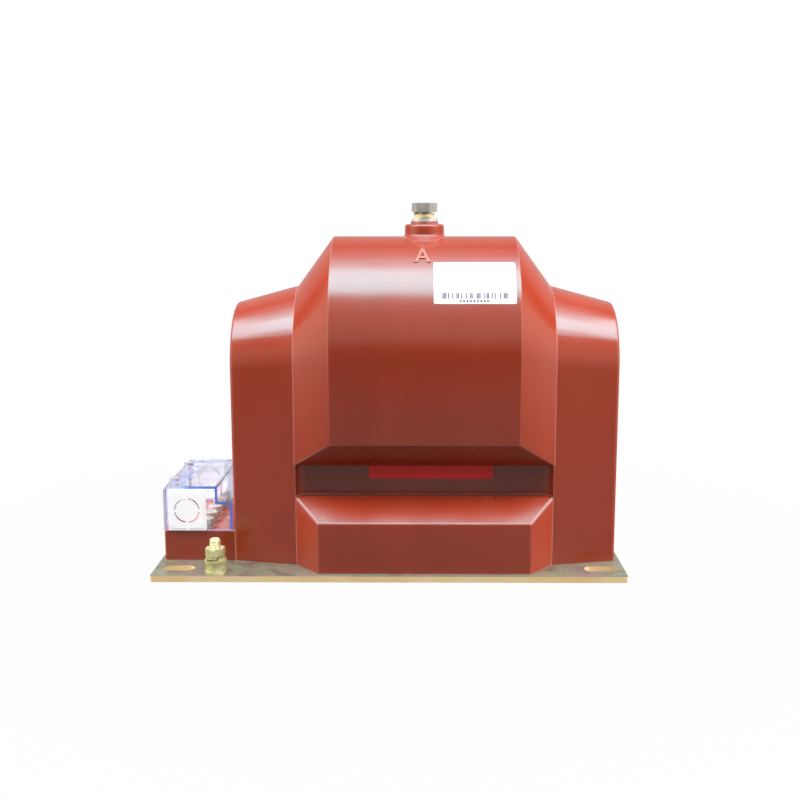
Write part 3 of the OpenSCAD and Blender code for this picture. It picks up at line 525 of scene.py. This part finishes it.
def block_patch(name, across, angles, lift, thick, paint, corner=0.0):
    """A thin sheet on the round front of the block, with closed edges and a corner radius."""
    low, high = angles
    length = math.radians(high - low) * ROUND_R
    outline = rounded_outline(*across, 0.0, length, corner)
    bm = bmesh.new()
    bm.faces.new([bm.verts.new((x, y, lift)) for x, y in outline])
    # Creases about two degrees apart let the sheet bend
    steps = max(2, int((high - low) / 2))
    for k in range(1, steps):
        everything = bm.verts[:] + bm.edges[:] + bm.faces[:]
        bmesh.ops.bisect_plane(bm, geom=everything, plane_co=(0, length * k / steps, 0), plane_no=(0, 1, 0))
    thicken(bm, (0, 0, thick))
    lay_on_block(bm, low)
    return mesh_piece(name, fill_mesh(bpy.data.meshes.new(name), bm), paint)


def add_label():
    """White blank label on the front of the block, with plain bars and a row of dots."""
    ink = ink_paint("label_ink_finish", (0.035, 0.035, 0.09), (0.08, 0.08, 0.17))
    paper_across = (6.4 * MM, 65.9 * MM)
    paper_angles = (27.3, 52.3)
    paper_t = 0.12 * MM
    paper_r = 1.2 * MM
    block_patch("label", paper_across, paper_angles, GLUE_T, paper_t, paper_paint(), paper_r)
    ink_lift = GLUE_T + paper_t
    ink_t = 0.02 * MM

    # Each group of bars: its start after the first bar in millimetres, and its number of bars
    groups = (
        (0.0, 3), (4.0, 1), (7.1, 1), (10.1, 2), (13.5, 1), (16.7, 1), (19.9, 2),
        (24.5, 3), (29.5, 1), (31.6, 2), (35.6, 1), (37.5, 1), (41.2, 1), (43.9, 3),
    )
    first_bar = 12.6
    bar_w = 0.78 * MM
    bar_pitch = 1.05 * MM
    bar_angles = (30.1, 33.2)
    places = [(first_bar + start) * MM + k * bar_pitch for start, count in groups for k in range(count)]
    for number, left in enumerate(places):
        block_patch(f"label_bar_{number:02d}", (left, left + bar_w), bar_angles, ink_lift, ink_t, ink)

    dots = 9
    first_dot = 25.0 * MM
    dot_w = 1.3 * MM
    dot_pitch = 2.45 * MM
    dot_angles = (28.2, 29.3)
    dot_r = 0.3 * MM
    for k in range(dots):
        left = first_dot + k * dot_pitch
        block_patch(f"label_dot_{k}", (left, left + dot_w), dot_angles, ink_lift, ink_t, ink, dot_r)


def letter_outlines(half, tall, stroke):
    """Outline of a letter A that is 2 * half wide at its foot, and of its eye."""
    leg_w = stroke * 1.1
    apex_half = stroke * 0.62
    lean = (half - stroke / 2) / tall
    bar_low = 0.27 * tall
    bar_high = bar_low + 1.5 * MM
    between = half - leg_w
    outer = [
        (-half, 0), (-between, 0), (lean * bar_low - between, bar_low),
        (between - lean * bar_low, bar_low), (between, 0), (half, 0),
        (apex_half, tall), (-apex_half, tall),
    ]
    eye_half = between - lean * bar_high
    eye_top = tall - stroke * 1.25
    eye = [(-eye_half, bar_high), (eye_half, bar_high), (0, eye_top)]
    return outer, eye


def add_letter():
    """Raised letter A of the high voltage terminal, cast on the block."""
    foot = 52.6
    apex = 63.6
    tall = math.radians(apex - foot) * ROUND_R
    middle_x = -1.6 * MM
    half_w = 5.4 * MM
    stroke = 1.35 * MM
    curve = bpy.data.curves.new("letter_outline", "CURVE")
    curve.dimensions = "2D"
    curve.fill_mode = "BOTH"
    for ring in letter_outlines(half_w, tall, stroke):
        spline = curve.splines.new("POLY")
        spline.points.add(len(ring) - 1)
        spline.use_cyclic_u = True
        for point, (x, y) in zip(spline.points, ring):
            point.co = (middle_x + x, y, 0, 1)
    curve.extrude = 0.4 * MM
    curve.bevel_depth = 0.35 * MM
    curve.bevel_resolution = 2
    holder = link_new("letter_holder", curve)
    bpy.context.view_layer.update()
    mesh = bpy.data.meshes.new_from_object(holder.evaluated_get(bpy.context.evaluated_depsgraph_get()))
    bpy.data.objects.remove(holder)
    bm = bmesh.new()
    bm.from_mesh(mesh)
    bmesh.ops.remove_doubles(bm, verts=bm.verts[:], dist=0.001 * MM)
    lay_on_block(bm, foot)
    fill_mesh(mesh, bm)
    mesh.name = "letter_a"
    mesh.materials.clear()
    letter = mesh_piece("letter_a", mesh, resin_paint("letter_finish", 0.55))
    smooth(letter, 40)


def add_red_strip():
    """Plain red panel stuck in the recess below the block."""
    paint = ink_paint("strip_finish", (0.74, 0.020, 0.024), (0.88, 0.036, 0.038), 0.34)
    left = BODY_X - 41.8 * MM
    right = BODY_X + 51.7 * MM
    foot = PLATE_T + 64.5 * MM
    top = PLATE_T + 76.0 * MM
    strip_t = 0.35 * MM
    corner_r = 0.8 * MM
    outline = rounded_outline(left, right, foot, top, corner_r)
    bm = bmesh.new()
    bm.faces.new([bm.verts.new((x, WAIST_Y - GLUE_T, z)) for x, z in outline])
    thicken(bm, (0, -strip_t, 0))
    mesh_piece("red_strip", fill_mesh(bpy.data.meshes.new("red_strip"), bm), paint)


def join_rings(bm, rings):
    """Faces between rings of vertices. The first and the last ring may each be a single vertex."""
    for lower, upper in zip(rings, rings[1:]):
        for i in range(AROUND):
            k = (i + 1) % AROUND
            if len(lower) == 1:
                bm.faces.new((lower[0], upper[k], upper[i]))
            elif len(upper) == 1:
                bm.faces.new((lower[i], lower[k], upper[0]))
            else:
                bm.faces.new((lower[i], lower[k], upper[k], upper[i]))


def add_rod(bm, x, y, z0, z1, radius, pitch, depth, bevel):
    """A threaded rod with a bevelled upper end."""
    rows_per_turn = 10
    # The share of the pitch that the thread's two flanks take
    flanks = 0.85
    rows = int((z1 - z0) / pitch * rows_per_turn)
    rings = []
    for j in range(rows + 1):
        z = z0 + (z1 - z0) * j / rows
        ring = []
        for i in range(AROUND):
            turn = i / AROUND
            phase = ((z - z0) / pitch - turn) % 1.0
            flank = min(abs(phase - 0.5) * 2 / flanks, 1.0)
            r = min(radius - depth * (1 - flank), radius - bevel + (z1 - z))
            a = 2 * math.pi * turn
            ring.append(bm.verts.new((x + r * math.cos(a), y + r * math.sin(a), z)))
        rings.append(ring)
    join_rings(bm, rings)
    bm.faces.new(reversed(rings[0]))
    bm.faces.new(rings[-1])


def add_head(bm, x, y, z, radius, thick, rim):
    """A flat round head with bevelled rims, closed by a vertex in the middle of each side."""
    flat_r = radius - rim
    profile = [(0, 0), (flat_r, 0), (radius, rim), (radius, thick - rim), (flat_r, thick), (0, thick)]
    rings = []
    for r, up in profile:
        turns = [2 * math.pi * i / AROUND for i in range(AROUND if r else 1)]
        rings.append([bm.verts.new((x + r * math.cos(a), y + r * math.sin(a), z + up)) for a in turns])
    join_rings(bm, rings)


def add_earth_stud(paint):
    """M8 earth stud with its thread, in place of the plain one."""
    low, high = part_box("earth_stud")
    head_r = (high.x - low.x) / 2
    head_t = 1.5 * MM
    thread_r = 4 * MM
    pitch = 1.25 * MM
    depth = 0.62 * MM
    bm = bmesh.new()
    add_rod(bm, EARTH_X, EARTH_Y, low.z + head_t, high.z, thread_r, pitch, depth, bevel=0.9 * MM)
    add_head(bm, EARTH_X, EARTH_Y, low.z, head_r, head_t, rim=0.2 * MM)
    mesh = fill_mesh(bpy.data.meshes.new("earth_stud_threaded"), bm)
    stud = mesh_piece("earth_stud_threaded", mesh, paint)
    smooth(stud, 50)
    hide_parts("earth_stud")


def blue_cover_edges(obj, edge_paint):
    """Gives the clear cover its fine blue edge lines."""
    obj.data.materials.append(edge_paint)
    bevel = obj.modifiers.new("edge_lines", "BEVEL")
    bevel.width = 0.55 * MM
    bevel.segments = 2
    bevel.limit_method = "ANGLE"
    bevel.angle_limit = math.radians(50)
    bevel.material = 1
    bevel.harden_normals = False
    # After the corners are joined and before the normals are weighted
    obj.modifiers.move(len(obj.modifiers) - 1, 1)


def add_camera():
    """Camera where the photograph was taken from."""
    data = bpy.data.cameras.new("camera")
    data.lens = CAMERA_LENS
    data.sensor_width = CAMERA_SENSOR
    data.shift_x = CAMERA_SHIFT_X
    camera = link_new("camera", data)
    camera.location = CAMERA_PLACE
    camera.rotation_euler = (math.radians(CAMERA_TILT), 0, math.radians(CAMERA_TURN))
    bpy.context.scene.camera = camera


def add_lamp(name, place, target, size, watts, colour=(1, 1, 1), gloss_only=False, matt_only=False):
    """Rectangular lamp facing a target.

    A gloss_only lamp is mirrored and lights no matt colour. A matt_only lamp does the reverse.
    """
    data = bpy.data.lights.new(name, "AREA")
    data.shape = "RECTANGLE"
    data.size, data.size_y = size
    data.energy = watts
    data.color = colour
    lamp = link_new(name, data)
    lamp.location = place
    lamp.rotation_euler = (Vector(target) - Vector(place)).to_track_quat("-Z", "Y").to_euler()
    lamp.visible_diffuse = not gloss_only
    lamp.visible_glossy = not matt_only


def add_overhead(name, x, y, size, watts, colour=(1, 1, 1), gloss_only=False):
    """Lamp in the ceiling that faces straight down."""
    add_lamp(name, (x, y, CEILING_Z), (x, y, AIM_Z), size, watts, colour, gloss_only)


def add_lamps():
    """White ceiling, side lamps for the matt colour, and warm walls that only the gloss shows."""
    add_overhead("overhead", STUDIO_X, -0.43, (1.6, 0.62), 25.5)
    add_overhead("overhead_left", -1.12, -0.22, (0.68, 0.88), 12.4, gloss_only=True)
    add_overhead("overhead_right", 1.16, -0.22, (0.68, 0.88), 13.6, gloss_only=True)
    add_overhead("overhead_middle", STUDIO_X, 0.01, (1.6, 0.26), 3.6)
    add_overhead("overhead_back", STUDIO_X, 0.32, (1.6, 0.36), 1.5)
    add_overhead("overhead_front", STUDIO_X, -0.94, (1.6, 0.4), 0.7, (1.0, 0.92, 0.80))

    front = (STUDIO_X, -1.1, 0.95)
    add_lamp("front", front, (STUDIO_X, -0.20, AIM_Z), (1.6, 0.5), 1.6, (1.0, 0.96, 0.90), matt_only=True)
    low_aim = (0, -0.05, 0.10)
    add_lamp("left", (-1.25, -0.08, 0.38), low_aim, (0.6, 0.8), 21, (1.0, 0.97, 0.90), matt_only=True)
    add_lamp("right", (1.25, -0.08, 0.38), low_aim, (0.6, 0.8), 25, (1.0, 0.95, 0.88), matt_only=True)

    body_aim = (0, -0.05, 0.15)
    honey = (1.0, 0.86, 0.58)
    amber = (1.0, 0.82, 0.52)
    add_lamp("left_wall", (-1.35, -0.40, 0.55), body_aim, (1.2, 1.1), 2.6, honey, gloss_only=True)
    add_lamp("right_wall", (1.35, -0.40, 0.55), body_aim, (1.2, 1.1), 1.8, amber, gloss_only=True)
    apricot = (1.0, 0.82, 0.60)
    for name, x in (("left_glint", -1.15), ("right_glint", 1.15)):
        add_lamp(name, (x, -0.96, 0.45), (0, 0, 0.15), (0.85, 0.8), 1.4, apricot, gloss_only=True)
    far_front = (STUDIO_X, -2.2, 1.28)
    straw = (1.0, 0.94, 0.76)
    add_lamp("front_wall", far_front, (STUDIO_X, 0, 0.5), (2.4, 1.7), 7.4, straw, gloss_only=True)


def white_for_seen_rays(tree, glossy=0.0):
    """Link of 1 for camera and glass rays, a share for mirrored rays and 0 for rays that light the part."""
    path = tree.nodes.new("ShaderNodeLightPath")
    mirrored = tree.nodes.new("ShaderNodeMath")
    mirrored.operation = "MULTIPLY"
    mirrored.inputs[1].default_value = glossy
    tree.links.new(path.outputs["Is Glossy Ray"], mirrored.inputs[0])
    last = mirrored
    for ray in ("Is Camera Ray", "Is Transmission Ray"):
        larger = tree.nodes.new("ShaderNodeMath")
        larger.operation = "MAXIMUM"
        tree.links.new(path.outputs[ray], larger.inputs[0])
        tree.links.new(last.outputs["Value"], larger.inputs[1])
        last = larger
    return last.outputs["Value"]


def add_world():
    """White world for the rays that are seen, with a weak share for the rays that light the part."""
    world = bpy.data.worlds.new("studio")
    bpy.context.scene.world = world
    world.use_nodes = True
    tree = world.node_tree
    background = tree.nodes["Background"]
    background.inputs["Color"].default_value = (1, 1, 1, 1)
    level = tree.nodes.new("ShaderNodeMapRange")
    level.inputs["To Min"].default_value = AMBIENT
    level.inputs["To Max"].default_value = 1.0
    tree.links.new(white_for_seen_rays(tree), level.inputs["Value"])
    tree.links.new(level.outputs["Result"], background.inputs["Strength"])


def studio_sheet(name, corners, colour, specular, white_share):
    """A matt sheet of the studio that shows white by the share that white_share(tree) links."""
    material = bpy.data.materials.new(f"{name}_finish")
    material.use_nodes = True
    tree = material.node_tree
    matt = tree.nodes["Principled BSDF"]
    matt.inputs["Base Color"].default_value = (*colour, 1)
    matt.inputs["Roughness"].default_value = 0.9
    matt.inputs["Specular IOR Level"].default_value = specular
    glow = tree.nodes.new("ShaderNodeEmission")
    blend = tree.nodes.new("ShaderNodeMixShader")
    tree.links.new(white_share(tree), blend.inputs[0])
    tree.links.new(matt.outputs["BSDF"], blend.inputs[1])
    tree.links.new(glow.outputs["Emission"], blend.inputs[2])
    tree.links.new(blend.outputs["Shader"], tree.nodes["Material Output"].inputs["Surface"])
    mesh = bpy.data.meshes.new(name)
    mesh.from_pydata(corners, [], [(0, 1, 2, 3)])
    mesh.materials.append(material)
    return link_new(name, mesh)


def wall_share(tree):
    """The backdrop is mirrored at half its strength."""
    return white_for_seen_rays(tree, 0.5)


def floor_share(tree):
    """The floor takes a faint shade close to the part, and is pure white farther out."""
    place = tree.nodes.new("ShaderNodeTexCoord")
    length = tree.nodes.new("ShaderNodeVectorMath")
    length.operation = "LENGTH"
    tree.links.new(place.outputs["Object"], length.inputs[0])
    share = tree.nodes.new("ShaderNodeMapRange")
    share.interpolation_type = "SMOOTHSTEP"
    for name, value in (("From Min", 0.15), ("From Max", 0.55), ("To Min", 0.98), ("To Max", 1.0)):
        share.inputs[name].default_value = value
    tree.links.new(length.outputs["Value"], share.inputs["Value"])
    seen = tree.nodes.new("ShaderNodeMath")
    seen.operation = "MULTIPLY"
    tree.links.new(white_for_seen_rays(tree), seen.inputs[0])
    tree.links.new(share.outputs["Result"], seen.inputs[1])
    return seen.outputs["Value"]


def add_floor():
    """White floor below the part."""
    corners = [(x, y, 0) for x, y in rounded_outline(-FLOOR_HALF, FLOOR_HALF, -FLOOR_HALF, FLOOR_HALF, 0)]
    floor = studio_sheet("floor", corners, (0.13, 0.12, 0.11), 0.1, floor_share)


def add_backdrop():
    """White wall behind the part that is seen and mirrored, and gives matt surfaces no light of its own."""
    corners = [(x, WALL_Y, z) for x, z in rounded_outline(-WALL_HALF_W, WALL_HALF_W, 0, WALL_H, 0)]
    backdrop = studio_sheet("backdrop", corners, (0.24, 0.22, 0.20), 0.5, wall_share)


def dress_outside():
    """Finishes of what is seen."""
    # Weights by area show as stripes on the casting's long triangles
    dress(resin_paint(), "resin_body", angle=9, weighted=False)
    dress(plate_paint(), "base_plate")
    bright = zinc_paint("bright_zinc_finish", (0.34, 0.34, 0.33), (0.48, 0.47, 0.45))
    dress(bright, "hv_bolt", "body_screws")
    dress(zinc_paint("washer_finish", (0.62, 0.62, 0.60), (0.80, 0.80, 0.78)), "hv_flat_washer")
    nickel = zinc_paint("nickel_finish", (0.42, 0.38, 0.30), (0.62, 0.58, 0.48), 0.24)
    dress(nickel, "lv_flat_washers", "lv_screws", "lv_spring_washers")
    dress(zinc_paint("cover_screw_finish", (0.66, 0.69, 0.80), (0.82, 0.84, 0.92)), "cover_screws")
    dress(zinc_paint("yellow_zinc_finish", (0.70, 0.60, 0.32), (0.86, 0.78, 0.48)), "hv_spring_washer")
    pale = zinc_paint("pale_zinc_finish", (0.60, 0.58, 0.28), (0.84, 0.83, 0.52))
    dress(pale, "earth_stud", "earth_base_washer", "earth_lower_nut")
    dress(pale, "earth_flat_washer", "earth_spring_washer", "earth_top_nut")
    add_earth_stud(pale)
    dress(copper_alloy_paint(), "hv_insert")
    dress(knockout_paint(), "front_knockout_plate", "rear_knockout_plate")
    dress(clear_paint(), "terminal_cover")
    blue_cover_edges(nodes["terminal_cover"], blue_edge_paint())
    # The lamps shine through the plastic onto what it covers
    nodes["terminal_cover"].visible_shadow = False


def dress_inside():
    """Finishes of what the casting hides."""
    brass = zinc_paint("brass_finish", (0.52, 0.36, 0.13), (0.70, 0.52, 0.24))
    dress(brass, "lv_inserts", "cover_inserts", "body_inserts")
    core = wound_paint("core_finish", (0.10, 0.11, 0.12), (0.20, 0.21, 0.22), 0.9, 0.4)
    dress(core, "core_left", "core_right")
    dress(wound_paint("band_finish", (0.45, 0.46, 0.48), (0.60, 0.61, 0.62), 0.95, 0.3), "core_band")
    copper = wound_paint("copper_finish", (0.48, 0.16, 0.06), (0.66, 0.27, 0.12), 0.9, 0.35)
    dress(copper, "measuring_winding", "residual_winding", "primary_winding")
    dress(copper, "core_earth_lead", "hv_lead", "neutral_lead", "secondary_leads")
    board = wound_paint("board_finish", (0.42, 0.28, 0.13), (0.56, 0.40, 0.22), 0.0, 0.7)
    dress(board, "winding_tube", "barrier_tube")
    dress(wound_paint("cloth_finish", (0.42, 0.43, 0.44), (0.58, 0.59, 0.60), 0.9, 0.45), "outer_screen")


bpy.context.scene.view_settings.view_transform = "Standard"
dress_outside()
dress_inside()
add_label()
add_letter()
add_red_strip()
add_camera()
add_lamps()
add_world()
add_floor()
add_backdrop()
